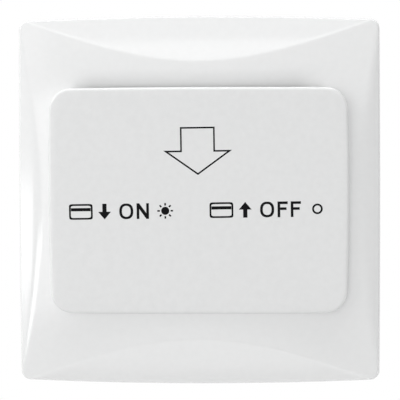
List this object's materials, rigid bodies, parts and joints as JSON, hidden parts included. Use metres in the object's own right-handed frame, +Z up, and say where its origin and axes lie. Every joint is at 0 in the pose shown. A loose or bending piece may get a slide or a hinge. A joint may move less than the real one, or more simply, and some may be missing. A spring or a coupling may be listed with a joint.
{
  "type": "hotel key card switch",
  "caption": "Square domed white wall plate with a raised card pocket; a key card slid in from above presses a lever switch that works a relay in the rear housing.",
  "frame": {"origin": "middle of the wall plane, midway between the two box screws", "axes": "+Z up the wall, +Y into the wall, +X to the right as seen from the front"},
  "size_m": [0.0864, 0.0433, 0.088],
  "materials": {
    "frame_gloss": "glossy white moulding, bright highlights on the domed face",
    "panel_satin": "satin white moulding with black print",
    "guide_white": "plain white moulding",
    "plate_white": "plain off-white moulding",
    "housing_black": "fine-grained black moulding",
    "screw_steel": "zinc-plated steel",
    "board_green": "green solder mask over glass laminate",
    "relay_black": "black plastic case",
    "film_yellow": "yellow plastic box",
    "can_navy": "dark blue sleeve on an aluminium can",
    "chip_black": "black moulded package with tinned legs",
    "diode_black": "black moulded body with tinned leads",
    "resistor_blue": "pale blue lacquer with colour bands",
    "varistor_blue": "blue epoxy coat",
    "lamp_clear": "clear moulded lamp",
    "block_green": "green moulding",
    "terminal_brass": "plated brass",
    "case_black": "black moulding",
    "lid_red": "dark red moulding",
    "plunger_red": "red moulding",
    "blade_bronze": "rolled spring bronze",
    "lever_steel": "rolled stainless strip"
  },
  "bodies": {
    "base": {"front_frame": "frame_gloss", "card_panel": "panel_satin", "card_guide": "guide_white", "guide_screws": "screw_steel", "mounting_plate": "plate_white", "rear_housing": "housing_black", "housing_screws": "screw_steel", "circuit_board": "board_green", "board_screws": "screw_steel", "relay": "relay_black", "film_capacitor": "film_yellow", "electrolytic_capacitors": "can_navy", "controller_chip": "chip_black", "rectifier_diodes": "diode_black", "resistors": "resistor_blue", "varistor": "varistor_blue", "locator_led": "lamp_clear", "terminal_block": "block_green", "terminal_clamps": "terminal_brass", "terminal_screws": "screw_steel", "switch_case": "case_black", "switch_lid": "lid_red", "common_terminal": "terminal_brass", "open_terminal": "terminal_brass", "closed_terminal": "terminal_brass", "lever_pin": "screw_steel"},
    "lever": {"card_lever": "lever_steel"},
    "plunger": {"switch_plunger": "plunger_red"},
    "blade": {"switch_blade": "blade_bronze"}
  },
  "joints": [
    {"name": "lever_pivot", "type": "hinge", "parent": "base", "child": "lever", "pos_m": [0, -0.00295, 0.0066], "axis": [1, 0, 0], "range_deg": [0, 9.5], "stiffness_Nm_per_rad": 0.03, "springref_deg": -17.19},
    {"name": "plunger_press", "type": "slide", "parent": "base", "child": "plunger", "axis": [0, 1, 0], "range_m": [0, 0.00092]},
    {"name": "blade_swing", "type": "hinge", "parent": "base", "child": "blade", "pos_m": [0, 0.0009, -0.0084], "axis": [-1, 0, 0], "range_deg": [0, 5.6]}
  ],
  "couplings": [
    {"joint": "plunger_press", "follows": "lever_pivot", "m_per_rad": 0.0055},
    {"joint": "blade_swing", "follows": "lever_pivot", "ratio": 0.57895}
  ]
}
